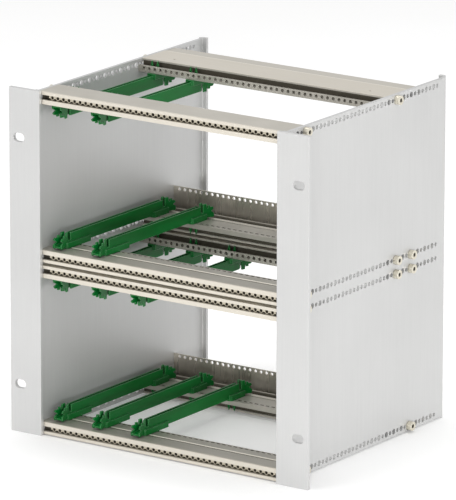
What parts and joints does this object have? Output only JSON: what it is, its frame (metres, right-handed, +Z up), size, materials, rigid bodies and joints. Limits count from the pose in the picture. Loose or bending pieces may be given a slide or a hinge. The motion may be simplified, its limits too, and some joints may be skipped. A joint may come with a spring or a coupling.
{
  "type": "subrack card cage",
  "caption": "Open metal card cage with rack flanges, extruded cross rails, threaded strips and snap-in plastic guides that hold circuit boards upright.",
  "frame": {"origin": "on the ground under the middle of the cage's box", "axes": "+Z up, -Y towards the open front with the rack flanges, +X to the right seen from the front"},
  "size_m": [0.2692, 0.217, 0.2659],
  "materials": {
    "panel": "satin clear chromated sheet",
    "rail": "satin extrusion, warm tint",
    "thread_strip": "zinc plated",
    "hole_strip": "bright rolled",
    "guide": "moulded, slight gloss",
    "screw": "nickel plated, turned"
  },
  "bodies": {
    "root": {"side_panel_left": "panel", "side_panel_right": "panel", "front_rail_top": "rail", "front_rail_mid_upper": "rail", "front_rail_mid_lower": "rail", "front_rail_bottom": "rail", "rear_rail_top": "rail", "rear_rail_mid_upper": "rail", "rear_rail_mid_lower": "rail", "rear_rail_bottom": "rail", "thread_strip_top": "thread_strip", "thread_strip_mid_upper": "thread_strip", "thread_strip_mid_lower": "thread_strip", "thread_strip_bottom": "thread_strip", "hole_strip_upper": "hole_strip", "hole_strip_lower": "hole_strip", "guide_upper_top_1": "guide", "guide_upper_top_2": "guide", "guide_upper_bottom_1": "guide", "guide_upper_bottom_2": "guide", "guide_lower_top_1": "guide", "guide_lower_top_2": "guide", "guide_lower_top_3": "guide", "guide_lower_bottom_1": "guide", "guide_lower_bottom_2": "guide", "guide_lower_bottom_3": "guide", "screws_left": "screw", "screws_right": "screw"}
  },
  "joints": []
}
